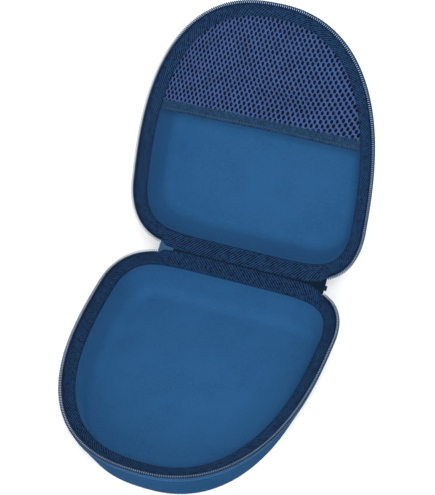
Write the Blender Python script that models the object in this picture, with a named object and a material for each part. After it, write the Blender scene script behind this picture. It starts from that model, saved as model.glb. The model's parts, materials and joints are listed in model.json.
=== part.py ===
"""A moulded zip-round headphone case, standing open: a deep base, a lid on a fabric hinge and a mesh pocket.

Units are metres and +Z is up. The origin is the centre of the flat bottom of the base, +Y points to
the hinge and +X to the right. Profiles are written in millimetres and scaled by MM as meshes are made.
A profile point is (inset, depth): how far inside the case's outline it lies, and how far from the rim.
"""

import math

import bmesh
import bpy
import numpy as np

MM = 0.001
GAP = 0.3  # between neighbours that touch on the real case

# The outline seen from above: two half superellipses that meet at the widest station.
HALF_WIDTH = 100.0
BACK_LENGTH, BACK_POWERS = 49.7, (5.8, 2.0)
FRONT_LENGTH, FRONT_POWERS = 164.3, (2.34, 2.65)
WIDEST_Y = (FRONT_LENGTH - BACK_LENGTH) / 2  # puts the origin in the middle of the outline
HINGE_ENDS = {"left": 68.0, "right": 75.5}  # reach of the fabric hinge from the middle; the zip stops there
BACK_STATIONS, FRONT_STATIONS = 14, 42

# Each half is a bowl whose walls lean inwards. Depths are measured from its rim.
DEPTH = 42.0
SKIN = 0.8  # fabric laminated to the foam
CORNER_RADIUS = 8.0
WALL_SLOPE = 0.35  # how much the walls come in for each unit of depth
WALL_ANGLE = math.atan(WALL_SLOPE)
ARC_STEPS = 4
LIP_TOP, LIP_DEPTH, LIP_SLANT = (1.35, 9.6), 3.6, 1.2  # insets of the lip's ends, its depth and its fall
LIP_BOTTOM, LIP_INSET = 9.0, 10.7
SHOULDER = 12.5  # where the undercut below the lip meets the cavity wall
CAVITY_RADIUS = 13.0
BASE_FOAM, LID_FOAM = 6.6, 3.0  # foam thickness under the floor
OUTER_TOP = 7.5  # where the outer fabric stops, under the seam strip
WALL_TOP, BASE_WALL, LID_WALL = 1.4, 8.6, 6.4  # insets at that depth of the outer wall and the cavity walls
LINING_TOPS = {"base": 6.4, "lid": 7.7}  # the lid's lining stops below the net

# Closed profiles of what runs round the rim: the flat zip tape, the seam strip and the coil of teeth.
TAPE = [(0.9, 2.5), (10.4, 3.5), (11.8, 4.7), (11.8, 6.0), (11.0, 6.0), (11.0, 5.2), (10.2, 4.3), (0.9, 3.3)]
STRIP_OUT, STRIP_IN, STRIP_TOP, STRIP_BOTTOM = -0.4, 0.4, 2.5, 7.2
STRIP_FALL = 0.33 * (STRIP_BOTTOM - STRIP_TOP)  # how much further in the strip's lower edge lies
COIL = [(-0.8, 0.4), (-0.4, 0.0), (1.4, 0.0), (1.8, 0.4), (1.8, 2.2), (-0.8, 2.2)]

# The hinge line runs along X just behind the rims and midway between them when the case is shut.
SHUT_GAP = 0.8
HINGE_Y = WIDEST_Y + BACK_LENGTH + 0.85
HINGE_Z = DEPTH + SHUT_GAP / 2
OPEN_ANGLE = math.radians(117.65)
FOLD_Y = HINGE_Y - 0.25  # how far back each hinge flap reaches
FLAP_TOP, FLAP_EDGE, FLAP_ROOT = 0.15, 0.85, 1.3  # depths of a flap's face, and of its back at edge and wall

# The mesh pocket closes the front half of the lid.
HEM_Y, HEM_WIDTH, HEM_THICKNESS = -5.1, 8.8, 1.6
POCKET_DEPTH, POCKET_SAG = 6.5, 3.0
POCKET_RINGS, HEM_STEPS = 5, 14

# The two zip tails behind the hinge, each with its slider. In and out are distances from the hinge line,
# along X sizes run inwards from the hinge's end, and halves are heights above and below the line.
TAIL_BEYOND, TAIL_INWARD = 1.0, 15.3
CHAIN_HALF, CHAIN_IN, CHAIN_OUT = 2.1, 4.5, 6.0
STOP_LENGTH, STOP_HALF, STOP_PROUD = 1.9, 2.6, 0.4
SLIDER_INWARD, SLIDER_LENGTH = 10.5, 9.0
SLIDER_WALL, SLIDER_IN, SLIDER_OUT = 0.5, 3.7, 7.3
ARCH_LENGTH, ARCH_HEIGHT, ARCH_HALF, ARCH_ROOT = 4.8, 3.2, 0.8, 0.5
EYE_LENGTH, EYE_HEIGHT = 3.0, 2.4

# The pull swings about an axis inside the arch's eye. Its reaches are measured from that axis.
PULL_PIVOT = SLIDER_OUT + 1.3
PLATE_REACH, PLATE_THICKNESS, PLATE_HALF = (-0.6, 15.0), 1.2, 2.6
WINDOW_REACH, WINDOW_HALF = (0.6, 4.2), 1.5
GRIP_REACH, GRIP_THICKNESS, GRIP_HALF = (6.5, 24.0), 3.0, 3.4
SOCKET_DEPTH = PLATE_REACH[1] + GAP
CUT = 2.0  # how far a cutter stands clear of what it cuts

COLOURS = {
    "outer_fabric": ((0.035, 0.120, 0.260), 0.9),
    "lining": ((0.027, 0.116, 0.282), 0.9),
    "tape": ((0.014, 0.036, 0.090), 0.85),
    "teeth": ((0.020, 0.055, 0.140), 0.5),
    "foam": ((0.020, 0.022, 0.028), 0.95),
    "mesh": ((0.060, 0.115, 0.270), 0.8),
    "hem": ((0.022, 0.068, 0.145), 0.85),
    "metal": ((0.050, 0.055, 0.065), 0.35),
    "grip": ((0.015, 0.045, 0.110), 0.7),
}


def clear_scene():
    for thing in list(bpy.data.objects):
        bpy.data.objects.remove(thing, do_unlink=True)


def material(name, kind):
    colour, roughness = COLOURS[kind]
    made = bpy.data.materials.new(name)
    made.use_nodes = True
    shader = made.node_tree.nodes["Principled BSDF"]
    shader.inputs["Base Color"].default_value = (*colour, 1.0)
    shader.inputs["Roughness"].default_value = roughness
    shader.inputs["Metallic"].default_value = 0.9 if kind == "metal" else 0.0
    return made


# ---------------------------------------------------------------- outline


def outline_curve(steps=4000):
    """The outline as closely spaced points, from the back centre towards -X and round."""
    turn = np.linspace(0, 2 * math.pi, steps + 1)
    side, along = -np.sin(turn), np.cos(turn)
    back = along >= 0
    p = np.where(back, BACK_POWERS[0], FRONT_POWERS[0])
    q = np.where(back, BACK_POWERS[1], FRONT_POWERS[1])
    reach = np.where(back, BACK_LENGTH, FRONT_LENGTH)
    x = HALF_WIDTH * np.sign(side) * np.abs(side) ** (2 / p)
    y = WIDEST_Y + reach * np.sign(along) * np.abs(along) ** (2 / q)
    return np.column_stack([x, y])


CURVE = outline_curve()
TRAVEL = np.concatenate([[0], np.cumsum(np.linalg.norm(np.diff(CURVE, axis=0), axis=1))])


def stations_at(lengths):
    """Points of the outline and their outward normals, at lengths along it."""
    lengths = np.asarray(lengths) % TRAVEL[-1]
    points = np.column_stack([np.interp(lengths, TRAVEL, CURVE[:, i]) for i in (0, 1)])
    ahead, behind = (lengths + 1) % TRAVEL[-1], (lengths - 1) % TRAVEL[-1]
    tangent = np.column_stack(
        [np.interp(ahead, TRAVEL, CURVE[:, i]) - np.interp(behind, TRAVEL, CURVE[:, i]) for i in (0, 1)]
    )
    tangent /= np.linalg.norm(tangent, axis=1)[:, None]
    return points, np.column_stack([tangent[:, 1], -tangent[:, 0]]) * facing(points, tangent)


def facing(points, tangent):
    """+1 where (ty, -tx) points away from the middle of the case, else -1."""
    out = points[:, 0] * tangent[:, 1] - points[:, 1] * tangent[:, 0]
    return np.sign(out)[:, None]


def hinge_length(side):
    """Length along the outline from the back centre to one end of the hinge."""
    near = TRAVEL < TRAVEL[-1] / 4
    return float(np.interp(HINGE_ENDS[side], -CURVE[near, 0], TRAVEL[near]))


LEFT_END, RIGHT_END = hinge_length("left"), hinge_length("right")
BACK_ARC = stations_at(np.linspace(-RIGHT_END, LEFT_END, BACK_STATIONS + 1))
FRONT_ARC = stations_at(np.linspace(LEFT_END, TRAVEL[-1] - RIGHT_END, FRONT_STATIONS + 1))
ALL_ROUND = tuple(np.vstack([b[:-1], f[:-1]]) for b, f in zip(BACK_ARC, FRONT_ARC))


# ---------------------------------------------------------------- meshes


class Half:
    """One half of the case: where its rim is, and what its objects hang from."""

    def __init__(self, name, parent, rim, down):
        self.name, self.parent, self.rim, self.down = name, parent, rim, down

    def height(self, depth):
        return self.rim + self.down * depth


def add_object(name, kind, bm, parent=None, smooth=True):
    """Makes an object from world points given in millimetres, with its origin on its parent."""
    bmesh.ops.recalc_face_normals(bm, faces=bm.faces)
    mesh = bpy.data.meshes.new(name)
    origin = parent["home"] if parent else (0.0, 0.0, 0.0)
    for vertex in bm.verts:
        vertex.co = [(value - home) * MM for value, home in zip(vertex.co, origin)]
    bm.to_mesh(mesh)
    bm.free()
    mesh.materials.append(material(name, kind))
    if smooth:
        mesh.shade_smooth()
        mesh.set_sharp_from_angle(angle=math.radians(35))
    made = bpy.data.objects.new(name, mesh)
    bpy.context.collection.objects.link(made)
    made.parent = parent
    return made


def bridge_rings(bm, rings, closed):
    """Faces between neighbouring rings of vertices; closed joins the last ring to the first."""
    pairs = list(zip(rings, rings[1:])) + ([(rings[-1], rings[0])] if closed else [])
    for one, two in pairs:
        for i in range(len(one)):
            j = (i + 1) % len(one)
            bm.faces.new((one[i], one[j], two[j], two[i]))


def section(bm, half, profile, point, normal):
    """The vertices of a profile at one station of the outline."""
    found = []
    for inset, depth in profile:
        x, y = point - normal * inset
        found.append(bm.verts.new((x, y, half.height(depth))))
    return found


def sweep(name, kind, half, profile, arc, all_round=False):
    """A closed profile swept along the outline: a full ring, or an arc with capped ends."""
    bm = bmesh.new()
    sections = [section(bm, half, profile, p, n) for p, n in zip(*arc)]
    bridge_rings(bm, sections, closed=all_round)
    if not all_round:
        bm.faces.new(sections[0])
        bm.faces.new(sections[-1])
    return add_object(f"{half.name}_{name}", kind, bm, half.parent)


def bowl(name, kind, half, profile):
    """An open profile, from under the floor over the rim to the top of the floor, as a bowl."""
    bm = bmesh.new()
    points, normals = ALL_ROUND
    rings = []
    for inset, depth in profile:
        around = points - normals * inset
        rings.append([bm.verts.new((x, y, half.height(depth))) for x, y in around])
    bridge_rings(bm, rings, closed=False)
    bm.faces.new(rings[0])
    bm.faces.new(rings[-1])
    return add_object(f"{half.name}_{name}", kind, bm, half.parent)


def leaning_corner(wall, floor, radius, drawn):
    """The round from a leaning wall down to a floor, drawn with another radius about the same centre.

    wall is the wall's inset where the outer fabric starts.
    """
    centre_depth = floor - radius
    centre_inset = wall + WALL_SLOPE * (centre_depth - OUTER_TOP) + radius / math.cos(WALL_ANGLE)
    angles = np.linspace(WALL_ANGLE, math.pi / 2, ARC_STEPS + 1)
    return [(centre_inset - drawn * math.cos(a), centre_depth + drawn * math.sin(a)) for a in angles]


def outside(offset):
    """The outer side of a bowl, offset inwards, from the floor up to where the outer fabric starts."""
    corner = leaning_corner(WALL_TOP, DEPTH, CORNER_RADIUS, CORNER_RADIUS - offset)
    return corner[::-1] + [(WALL_TOP + offset / math.cos(WALL_ANGLE), OUTER_TOP)]


def inside(wall, floor, offset, top):
    """The inner side of a bowl, offset into the cavity, from depth top down to the floor."""
    shoulder = wall + WALL_SLOPE * (SHOULDER - OUTER_TOP) + offset / math.cos(WALL_ANGLE)
    lip = [(LIP_INSET + offset, top), (LIP_INSET + offset, LIP_BOTTOM), (shoulder, SHOULDER)]
    return lip + leaning_corner(wall, floor, CAVITY_RADIUS, CAVITY_RADIUS - offset)


# ---------------------------------------------------------------- the two halves


def add_shell(half, foam, wall):
    """Foam core, outer skin and lining of one half."""
    core_bottom = DEPTH - SKIN - GAP
    core_floor = core_bottom - foam
    under = SKIN + GAP
    core = outside(under)
    core += [(LIP_TOP[0], LIP_DEPTH), (LIP_TOP[1], LIP_DEPTH + LIP_SLANT)]
    core += inside(wall, core_floor, 0.0, LIP_DEPTH + 2.0)
    bowl("shell_core", "foam", half, core)

    bowl("outer_fabric", "outer_fabric", half, outside(0.0) + outside(SKIN)[::-1])

    top = LINING_TOPS[half.name]
    face = inside(wall, core_floor, GAP + SKIN, top)
    back = inside(wall, core_floor, GAP, top)
    bowl("lining", "lining", half, back[::-1] + face)


def add_rim(half):
    """The flat zip tape over the lip, the seam strip under its edge, and the coil of teeth."""
    sweep("zip_tape", "tape", half, TAPE, ALL_ROUND, all_round=True)
    strip = [(STRIP_OUT, STRIP_TOP), (STRIP_IN, STRIP_TOP)]
    strip += [(inset + STRIP_FALL, STRIP_BOTTOM) for inset in (STRIP_IN, STRIP_OUT)]
    sweep("seam_strip", "outer_fabric", half, strip, FRONT_ARC)
    sweep("zip_teeth", "teeth", half, COIL, FRONT_ARC)


def add_hinge_strip(half):
    """Half of the fabric hinge: a band outside the wall, and a flap that reaches the fold line."""
    bm = bmesh.new()
    sections = []
    for point, normal in zip(*BACK_ARC):
        inner, outer = point - normal * STRIP_IN, point - normal * STRIP_OUT
        fall = normal * STRIP_FALL
        ring = [
            (*(inner - fall), half.height(STRIP_BOTTOM)),
            (*(outer - fall), half.height(STRIP_BOTTOM)),
            (*outer, half.height(FLAP_ROOT)),
            (outer[0], FOLD_Y, half.height(FLAP_EDGE)),
            (outer[0], FOLD_Y, half.height(FLAP_TOP)),
            (*inner, half.height(FLAP_TOP)),
            (*inner, half.height(STRIP_TOP)),
        ]
        sections.append([bm.verts.new(p) for p in ring])
    bridge_rings(bm, sections, closed=False)
    bm.faces.new(sections[0])
    bm.faces.new(sections[-1])
    add_object(f"{half.name}_hinge_strip", "outer_fabric", bm, half.parent)


# ---------------------------------------------------------------- mesh pocket


def pocket_depth(share):
    """Depth of the net, from the middle of its mouth (0) to the tape (1)."""
    return POCKET_DEPTH + POCKET_SAG * (1 - share**2)


def pocket_edge(inset):
    """The pocket's edge as points, at an inset from the outline."""
    points, normals = FRONT_ARC
    return points - normals * inset


def half_width(edge, y):
    """Half the width between the two sides of an edge at y."""
    right = edge[edge[:, 0] > 0]
    order = np.argsort(right[:, 1])
    return float(np.interp(y, right[order, 1], right[order, 0]))


def add_net(lid):
    """The net: a fan of rays from the middle of the mouth to the tape round the tip."""
    mouth = HEM_Y - HEM_WIDTH - GAP
    edge = pocket_edge(LIP_INSET + 0.4)
    corner = half_width(edge, mouth)
    tip = edge[edge[:, 1] < mouth - 2.0]
    rim = np.vstack([[(-corner, mouth)], tip, [(corner, mouth)]])
    middle = np.array([0.0, mouth])
    bm = bmesh.new()
    sheets = []
    for thickness in (0.0, SKIN):
        rows = []
        for share in np.linspace(1.0, 1.0 / POCKET_RINGS, POCKET_RINGS):
            height = lid.height(pocket_depth(share) + thickness)
            rows.append([bm.verts.new((*(middle + share * (p - middle)), height)) for p in rim])
        centre = bm.verts.new((*middle, lid.height(pocket_depth(0.0) + thickness)))
        for one, two in zip(rows, rows[1:]):
            for i in range(len(rim) - 1):
                bm.faces.new((one[i], one[i + 1], two[i + 1], two[i]))
        for i in range(len(rim) - 1):
            bm.faces.new((rows[-1][i], rows[-1][i + 1], centre))
        line = [row[0] for row in rows] + [centre] + [row[-1] for row in rows[::-1]]
        sheets.append((rows[0], line))
    for near, far in zip(*sheets):
        for i in range(len(near) - 1):
            bm.faces.new((near[i], near[i + 1], far[i + 1], far[i]))
    add_object("mesh_pocket_net", "mesh", bm, lid.parent)


def add_hem(lid):
    """The elastic binding along the pocket's mouth."""
    bm = bmesh.new()
    near, far = HEM_Y, HEM_Y - HEM_WIDTH
    top, bottom = -HEM_THICKNESS / 2, HEM_THICKNESS / 2
    profile = ((near, top), (far, top), (far, bottom), (near, bottom))
    edge = pocket_edge(LIP_INSET + GAP + SKIN + GAP)
    profile = [(half_width(edge, y), y, depth) for y, depth in profile]
    sections = []
    for share in np.linspace(-1, 1, HEM_STEPS + 1):
        middle = pocket_depth(abs(share)) + SKIN / 2
        ring = [(share * corner, y, lid.height(middle + depth)) for corner, y, depth in profile]
        sections.append([bm.verts.new(p) for p in ring])
    bridge_rings(bm, sections, closed=False)
    bm.faces.new(sections[0])
    bm.faces.new(sections[-1])
    add_object("mesh_pocket_hem", "hem", bm, lid.parent)


# ---------------------------------------------------------------- zip tails, sliders and pulls


def add_box(name, kind, parent, low, high, bevel=0.0, keep=True):
    """A box between two corners in world millimetres; keep=False makes a hidden cutter."""
    bm = bmesh.new()
    bmesh.ops.create_cube(bm, size=1.0)
    for vertex in bm.verts:
        vertex.co = [(a + b) / 2 + c * (b - a) for a, b, c in zip(low, high, vertex.co)]
    made = add_object(name, kind, bm, parent, smooth=False)
    if bevel:
        rounding = made.modifiers.new("rounding", "BEVEL")
        rounding.width, rounding.segments = bevel * MM, 2
        rounding.limit_method = "ANGLE"
    if not keep:
        made.hide_render = True
        made.display_type = "WIRE"
    return made


def combine(made, other, operation):
    boolean = made.modifiers.new(other.name, "BOOLEAN")
    boolean.operation, boolean.object, boolean.solver = operation, other, "EXACT"


def tail_box(x, out, half):
    """Corners of a box behind the hinge line: spans along X and away from the line, and a half height."""
    low = (min(x), HINGE_Y + min(out), HINGE_Z - half)
    high = (max(x), HINGE_Y + max(out), HINGE_Z + half)
    return low, high


def around(x, size):
    """The span of a size about x."""
    return x - size / 2, x + size / 2


def add_tail(side, sign):
    """The last stretch of closed zip behind the hinge, its slider and its pull."""
    carrier = add_empty(f"tail_carrier_{side}", (0.0, HINGE_Y, HINGE_Z))
    carrier.rotation_euler.x = -OPEN_ANGLE / 2
    end = HINGE_ENDS[side]
    start = end - TAIL_INWARD
    chain = tail_box((sign * start, sign * (end + TAIL_BEYOND)), (CHAIN_IN, CHAIN_OUT), CHAIN_HALF)
    add_box(f"zip_tail_{side}", "teeth", carrier, *chain, bevel=0.4)
    span = (sign * (start - GAP - STOP_LENGTH), sign * (start - GAP))
    stop = tail_box(span, (CHAIN_IN - STOP_PROUD, CHAIN_OUT + STOP_PROUD), STOP_HALF)
    add_box(f"zip_stop_{side}", "metal", carrier, *stop, bevel=0.3)
    x = sign * (end - SLIDER_INWARD)
    add_slider(side, x, carrier)
    add_pull(side, x, carrier)


def add_slider(side, x, carrier):
    """A slider wrapped round the chain, with the arch that holds its pull."""
    name = f"slider_{side}"
    inner_half = CHAIN_HALF + GAP
    body = tail_box(around(x, SLIDER_LENGTH), (SLIDER_IN, SLIDER_OUT), inner_half + SLIDER_WALL)
    body = add_box(name, "metal", carrier, *body)
    arch = tail_box(around(x, ARCH_LENGTH), (SLIDER_OUT - ARCH_ROOT, SLIDER_OUT + ARCH_HEIGHT), ARCH_HALF)
    arch = add_box(f"{name}_arch", "metal", carrier, *arch, keep=False)
    eye = tail_box(around(x, EYE_LENGTH), (SLIDER_OUT, SLIDER_OUT + EYE_HEIGHT), ARCH_HALF + CUT)
    eye = add_box(f"{name}_eye", "metal", carrier, *eye, keep=False)
    channel = (SLIDER_IN + SLIDER_WALL, CHAIN_OUT + GAP)
    channel = tail_box(around(x, SLIDER_LENGTH + 2 * CUT), channel, inner_half)
    channel = add_box(f"{name}_channel", "metal", carrier, *channel, keep=False)
    combine(arch, eye, "DIFFERENCE")
    combine(body, arch, "UNION")
    combine(body, channel, "DIFFERENCE")


def add_pull(side, x, carrier):
    """The pull: a metal plate that swings under the arch, and the moulded grip on its end."""
    pivot = add_empty(f"pull_pivot_{side}", (x, HINGE_Y + PULL_PIVOT, HINGE_Z), carrier)

    def pull_box(name, kind, thickness, reach, half, **extra):
        reach = (PULL_PIVOT + reach[0], PULL_PIVOT + reach[1])
        return add_box(name, kind, pivot, *tail_box(around(x, thickness), reach, half), **extra)

    plate = pull_box(f"pull_{side}", "metal", PLATE_THICKNESS, PLATE_REACH, PLATE_HALF)
    window = (f"pull_{side}_window", "metal", PLATE_THICKNESS + 2 * CUT, WINDOW_REACH, WINDOW_HALF)
    combine(plate, pull_box(*window, keep=False), "DIFFERENCE")
    grip = pull_box(f"pull_grip_{side}", "grip", GRIP_THICKNESS, GRIP_REACH, GRIP_HALF, bevel=0.8)
    reach = (GRIP_REACH[0] - CUT, SOCKET_DEPTH)
    socket = (f"pull_grip_{side}_socket", "grip", PLATE_THICKNESS + 2 * GAP, reach, PLATE_HALF + GAP)
    combine(grip, pull_box(*socket, keep=False), "DIFFERENCE")


def add_empty(name, home, parent=None):
    """An empty at a place in the shut case, given in world millimetres."""
    made = bpy.data.objects.new(name, None)
    bpy.context.collection.objects.link(made)
    start = parent["home"] if parent else (0.0, 0.0, 0.0)
    made.parent = parent
    made.location = [(a - b) * MM for a, b in zip(home, start)]
    made["home"] = home
    return made


def main():
    clear_scene()
    lid_hinge = add_empty("lid_hinge", (0.0, HINGE_Y, HINGE_Z))
    lid_hinge.rotation_euler.x = -OPEN_ANGLE
    base = Half("base", None, DEPTH, -1)
    lid = Half("lid", lid_hinge, DEPTH + SHUT_GAP, 1)
    for half, foam, wall in ((base, BASE_FOAM, BASE_WALL), (lid, LID_FOAM, LID_WALL)):
        add_shell(half, foam, wall)
        add_rim(half)
        add_hinge_strip(half)
    add_net(lid)
    add_hem(lid)
    for side, sign in (("left", -1), ("right", 1)):
        add_tail(side, sign)


main()
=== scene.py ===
"""The looks of the open headphone case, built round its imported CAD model.

Shapes are worked out in millimetres for the shut case, as (inset, depth) from the rim of each half,
and turned about the hinge line for the lid. The frame gives the hinge line and the open angle.
"""

import json
import math

import bmesh
import bpy
import numpy as np
from mathutils import Matrix, Vector, noise


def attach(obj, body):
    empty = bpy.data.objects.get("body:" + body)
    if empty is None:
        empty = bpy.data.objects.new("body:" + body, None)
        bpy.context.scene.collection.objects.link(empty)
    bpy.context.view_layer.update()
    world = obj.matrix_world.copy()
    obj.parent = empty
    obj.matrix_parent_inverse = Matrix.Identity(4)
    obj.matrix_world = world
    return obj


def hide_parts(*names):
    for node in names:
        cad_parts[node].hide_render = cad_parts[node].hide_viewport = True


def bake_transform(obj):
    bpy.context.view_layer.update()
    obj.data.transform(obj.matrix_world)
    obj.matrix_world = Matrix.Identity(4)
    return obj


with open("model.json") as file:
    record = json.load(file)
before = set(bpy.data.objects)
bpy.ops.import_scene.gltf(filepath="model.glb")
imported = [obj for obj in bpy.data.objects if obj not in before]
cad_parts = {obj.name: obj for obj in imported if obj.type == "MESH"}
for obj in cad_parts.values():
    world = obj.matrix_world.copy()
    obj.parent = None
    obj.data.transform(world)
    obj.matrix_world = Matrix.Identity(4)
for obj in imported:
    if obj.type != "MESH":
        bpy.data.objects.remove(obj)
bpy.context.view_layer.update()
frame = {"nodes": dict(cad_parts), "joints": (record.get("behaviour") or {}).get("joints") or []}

MM = 0.001

# ---------------------------------------------------------------- the case's own sizes

HALF_WIDTH = 100.0
BACK_LENGTH, BACK_POWERS = 49.7, (5.8, 2.0)  # from the widest line, and the powers of its superellipse
FRONT_LENGTH, FRONT_POWERS = 164.3, (2.34, 2.65)
WIDEST_Y = (FRONT_LENGTH - BACK_LENGTH) / 2
HINGE_ENDS = {"left": 68.0, "right": 75.5}  # reach of the fabric hinge from the middle
DEPTH = 42.0  # of one half, from its rim to its outer face
SKIN = 0.8  # the outer fabric's thickness
CORNER_RADIUS = 8.0
WALL_SLOPE = 0.35  # how much the walls come in for each unit of depth
WALL_ANGLE = math.atan(WALL_SLOPE)
OUTER_TOP, WALL_TOP = 7.5, 1.4  # where the outer wall starts, and its inset there
SHUT_GAP = 0.8  # between the two rims
LIP_INSET = 10.7  # of the lip's inner edge
SHOULDER = 12.5  # where the undercut below the lip meets the cavity's wall
CAVITY_RADIUS = 13.0
CAVITY = {"base": (8.6, 34.3), "lid": (6.4, 37.9)}  # the wall's inset at OUTER_TOP, depth of the foam floor

lid_joint = next(j for j in frame["joints"] if j["name"] == "lid_hinge")
HINGE = np.array(lid_joint["pos_m"]) / MM
OPEN = math.radians(max(lid_joint["range_deg"]))
TURN = np.array([[1, 0, 0], [0, math.cos(OPEN), math.sin(OPEN)], [0, -math.sin(OPEN), math.cos(OPEN)]])

OUTLINE_STEPS = 8000
TANGENT_REACH = 1.5  # either side of a station, for its tangent


def outline_curve():
    """The outline as closely spaced points, from the back centre towards -X and round."""
    turn = np.linspace(0, 2 * math.pi, OUTLINE_STEPS + 1)
    side, along = -np.sin(turn), np.cos(turn)
    back = along >= 0
    p = np.where(back, BACK_POWERS[0], FRONT_POWERS[0])
    q = np.where(back, BACK_POWERS[1], FRONT_POWERS[1])
    reach = np.where(back, BACK_LENGTH, FRONT_LENGTH)
    x = HALF_WIDTH * np.sign(side) * np.abs(side) ** (2 / p)
    y = WIDEST_Y + reach * np.sign(along) * np.abs(along) ** (2 / q)
    return np.column_stack([x, y])


CURVE = outline_curve()
TRAVEL = np.concatenate([[0], np.cumsum(np.linalg.norm(np.diff(CURVE, axis=0), axis=1))])
ROUND = TRAVEL[-1]
NEAR = TRAVEL < ROUND / 4
LEFT_END, RIGHT_END = (
    float(np.interp(HINGE_ENDS[side], -CURVE[NEAR, 0], TRAVEL[NEAR])) for side in ("left", "right")
)
ZIP_START, ZIP_STOP = LEFT_END, ROUND - RIGHT_END


def stations(lengths):
    """Points of the outline and their outward normals, at lengths along it."""
    lengths = np.asarray(lengths) % ROUND
    points = np.column_stack([np.interp(lengths, TRAVEL, CURVE[:, i]) for i in (0, 1)])
    ahead, behind = (lengths + TANGENT_REACH) % ROUND, (lengths - TANGENT_REACH) % ROUND
    tangent = np.column_stack(
        [np.interp(ahead, TRAVEL, CURVE[:, i]) - np.interp(behind, TRAVEL, CURVE[:, i]) for i in (0, 1)]
    )
    tangent /= np.linalg.norm(tangent, axis=1)[:, None]
    normal = np.column_stack([tangent[:, 1], -tangent[:, 0]])
    return points, normal * np.sign((points * normal).sum(axis=1))[:, None]


def place(half, x, y, depth):
    """World points in millimetres, for points of a half given in the shut case."""
    z = DEPTH - depth if half == "base" else DEPTH + SHUT_GAP + depth
    points = np.stack(np.broadcast_arrays(x, y, z), axis=-1).astype(float)
    if half == "lid":
        points = (points - HINGE) @ TURN.T + HINGE
    return points


def upwards(half, count):
    """The direction out of a half's rim plane, once for each of count points."""
    return np.tile(place(half, 0, 0, 0.0) - place(half, 0, 0, 1.0), (count, 1))


def along_outline(half, lengths, inset, depth):
    """World points at lengths along the outline, with an inset and a depth for each."""
    points, normals = stations(lengths)
    inset = np.broadcast_to(inset, np.shape(lengths))
    flat = points - normals * inset[:, None]
    return place(half, flat[:, 0], flat[:, 1], depth)


# ---------------------------------------------------------------- mesh helpers


def grid_faces(rows, columns, wrap_rows=False, wrap_columns=False):
    """Quads between the points of a grid, and the grid corners that each quad's loops stand on."""
    row = np.arange(rows if wrap_rows else rows - 1)
    column = np.arange(columns if wrap_columns else columns - 1)
    a, b = (m.ravel() for m in np.meshgrid(row, column, indexing="ij"))
    corners = np.array([(a, b), (a + 1, b), (a + 1, b + 1), (a, b + 1)])
    faces = (corners[:, 0] % rows) * columns + corners[:, 1] % columns
    return faces.T, corners


def grid_uv(along, across, corners):
    """UVs of a grid's face corners, from one coordinate for its rows and one for its columns."""
    return np.stack([along[corners[:, 0]], across[corners[:, 1]]], axis=-1).transpose(1, 0, 2).reshape(-1, 2)


def end_caps(rows, columns):
    """Faces over the first and last row of a grid whose rows are closed rings."""
    return [list(range(columns)), list(range((rows - 1) * columns, rows * columns))]


def make_piece(name, points, faces, material, uv=None, sharp=50):
    """A smooth-shaded piece from points in millimetres; uv holds one pair for each face corner."""
    mesh = bpy.data.meshes.new(name)
    points = np.asarray(points).reshape(-1, 3) * MM
    mesh.from_pydata(points.tolist(), [], [list(map(int, face)) for face in faces])
    if uv is not None:
        mesh.uv_layers.new(name="UVMap").data.foreach_set("uv", np.asarray(uv, np.float32).ravel())
    bm = bmesh.new()
    bm.from_mesh(mesh)
    bmesh.ops.recalc_face_normals(bm, faces=bm.faces)
    bm.to_mesh(mesh)
    bm.free()
    mesh.shade_smooth()
    mesh.set_sharp_from_angle(angle=math.radians(sharp))
    mesh.materials.append(material)
    piece = bpy.data.objects.new(name, mesh)
    bpy.context.collection.objects.link(piece)
    return piece


def finish_piece(piece, body, slot, *nodes):
    """Says what a piece moves with and hides the CAD nodes that it stands for. slot is not used."""
    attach(piece, body)
    if nodes:
        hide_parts(*nodes)
    return piece


def smooth_profile(points, steps=4):
    """A rounded version of a profile's points: a Catmull-Rom curve through them."""
    points = np.array(points, float)
    padded = np.vstack([2 * points[0] - points[1], points, 2 * points[-1] - points[-2]])
    found = []
    for i in range(len(points) - 1):
        p0, p1, p2, p3 = padded[i : i + 4]
        slope, bend, twist = p2 - p0, 2 * p0 - 5 * p1 + 4 * p2 - p3, 3 * p1 - p0 - 3 * p2 + p3
        for t in np.arange(steps) / steps:
            found.append(0.5 * (2 * p1 + slope * t + bend * t**2 + twist * t**3))
    found.append(points[-1])
    return np.array(found)


def profile_lengths(profile):
    """How far each point of a profile lies along it."""
    return np.concatenate([[0], np.cumsum(np.linalg.norm(np.diff(profile, axis=0), axis=1))])


def sweep(name, half, lengths, profile, material, wrap=False, shift=None):
    """A closed profile swept along the outline, with UVs in millimetres along and across it.

    profile is one for all lengths or one for each. shift(length, distance across) is added to its insets.
    """
    lengths = np.asarray(lengths)
    points, normals = stations(lengths)
    shapes = profile if profile.ndim == 3 else profile[None]
    profile = shapes[0]
    inset, depth = shapes[..., 0], shapes[..., 1]
    if shift is not None:
        inset = inset + shift(lengths[:, None], profile_lengths(profile)[None, :])
    flat = points[:, None, :] - normals[:, None, :] * inset[..., None]
    world = place(half, flat[..., 0], flat[..., 1], depth)
    rows, columns = world.shape[:2]
    faces, corners = grid_faces(rows, columns, wrap, True)
    across = np.append(profile_lengths(profile), profile_lengths(np.vstack([profile, profile[:1]]))[-1])
    along = np.append(lengths, lengths[0] + ROUND)
    faces, uv = faces.tolist(), grid_uv(along, across, corners)
    if not wrap:
        faces += end_caps(rows, columns)
        uv = np.vstack([uv, profile, profile])
    return make_piece(name, world, faces, material, uv)


BOWL_STATIONS = 260
CAP_MIDDLE = np.array([0.0, -6.0])  # where the flat ends of a bowl run together
CAP_RADIUS = 90.0  # about the size of those ends, for their UVs


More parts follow.
